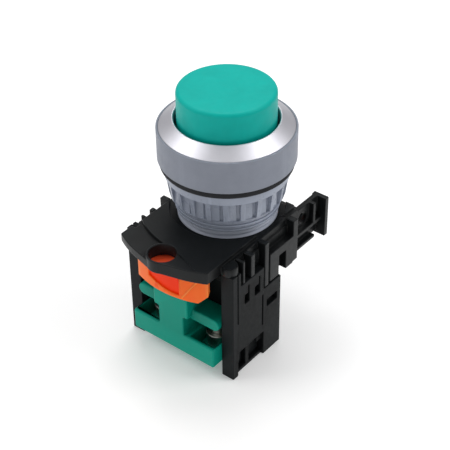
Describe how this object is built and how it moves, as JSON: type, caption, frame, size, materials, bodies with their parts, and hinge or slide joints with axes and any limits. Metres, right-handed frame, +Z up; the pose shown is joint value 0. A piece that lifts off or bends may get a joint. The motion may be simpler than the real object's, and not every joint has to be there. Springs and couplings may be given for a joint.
{
  "type": "industrial push button",
  "caption": "Raised round momentary push button in a threaded operator head, with lock nut, mounting adaptor, bayonet lever and a screw-terminal contact block.",
  "frame": {"origin": "where the button's axis crosses the panel plane, which is the underside of the gasket", "axes": "+Z up along the button's axis out of the panel, -Y towards the wire entries of the contact block, +X to the right seen from the wire entries"},
  "size_m": [0.0295, 0.0423, 0.0602],
  "materials": {
    "cap_plastic": "smooth semi-gloss moulded",
    "dark_plastic": "plain moulded",
    "steel": "plain sprung sheet",
    "seal_rubber": "matt",
    "grey_plastic": "fine moulded grain",
    "barrel_plastic": "moulded thread",
    "nut_plastic": "fine moulded grain",
    "satin_aluminium": "satin, turned",
    "black_plastic": "fine spark-eroded grain",
    "housing_plastic": "fine spark-eroded grain",
    "base_plastic": "plain moulded",
    "lever_plastic": "semi-gloss moulded",
    "terminal_plastic": "semi-gloss moulded",
    "plunger_plastic": "semi-gloss moulded",
    "contact_brass": "plain rolled strip",
    "nickel": "nickel plated",
    "silver": "plain silver",
    "spring_steel": "drawn wire"
  },
  "bodies": {
    "body": {"bezel_ring": "grey_plastic", "bezel_insert": "satin_aluminium", "panel_gasket": "seal_rubber", "operator_barrel": "barrel_plastic", "stem_seal": "seal_rubber", "adaptor_frame": "black_plastic", "lever_retainer": "steel", "block_housing": "housing_plastic", "terminal_body": "terminal_plastic", "block_base": "base_plastic", "fixed_contact_left": "contact_brass", "fixed_contact_right": "contact_brass", "clamp_washer_left": "nickel", "clamp_washer_right": "nickel", "fixed_tips": "silver", "return_spring": "spring_steel", "plunger_spring": "spring_steel"},
    "button": {"button_cap": "cap_plastic", "button_stem": "dark_plastic", "pusher_plate": "dark_plastic", "stem_circlip": "steel"},
    "plunger": {"contact_plunger": "plunger_plastic"},
    "bridge": {"moving_bridge": "contact_brass", "bridge_tips": "silver", "contact_spring": "spring_steel"},
    "nut": {"lock_nut": "nut_plastic"},
    "lever": {"lock_lever": "lever_plastic"},
    "screw_left": {"terminal_screw_left": "nickel"},
    "screw_right": {"terminal_screw_right": "nickel"}
  },
  "joints": [
    {"name": "button_press", "type": "slide", "parent": "body", "child": "button", "axis": [0, 0, -1], "range_m": [0, 0.004], "stiffness_N_per_m": 900, "springref_m": -0.004, "deforming": ["return_spring"]},
    {"name": "plunger_press", "type": "slide", "parent": "body", "child": "plunger", "axis": [0, 0, -1], "range_m": [0, 0.004], "deforming": ["plunger_spring"]},
    {"name": "bridge_close", "type": "slide", "parent": "body", "child": "bridge", "axis": [0, 0, -1], "range_m": [0, 0.00224], "deforming": ["contact_spring"]},
    {"name": "nut_turn", "type": "hinge", "parent": "body", "child": "nut", "pos_m": [0, 0, -0.005], "axis": [0, 0, 1], "continuous": true},
    {"name": "lever_turn", "type": "hinge", "parent": "body", "child": "lever", "pos_m": [0, 0, -0.0155], "axis": [0, 0, 1], "range_deg": [-8, 0]},
    {"name": "screw_left_turn", "type": "hinge", "parent": "body", "child": "screw_left", "pos_m": [-0.0074, -0.013, -0.032], "axis": [0, 0, 1], "continuous": true},
    {"name": "screw_right_turn", "type": "hinge", "parent": "body", "child": "screw_right", "pos_m": [0.0074, -0.013, -0.032], "axis": [0, 0, 1], "continuous": true}
  ],
  "couplings": [
    {"joint": "plunger_press", "follows": "button_press", "ratio": 1},
    {"joint": "bridge_close", "follows": "button_press", "ratio": 0.56}
  ]
}
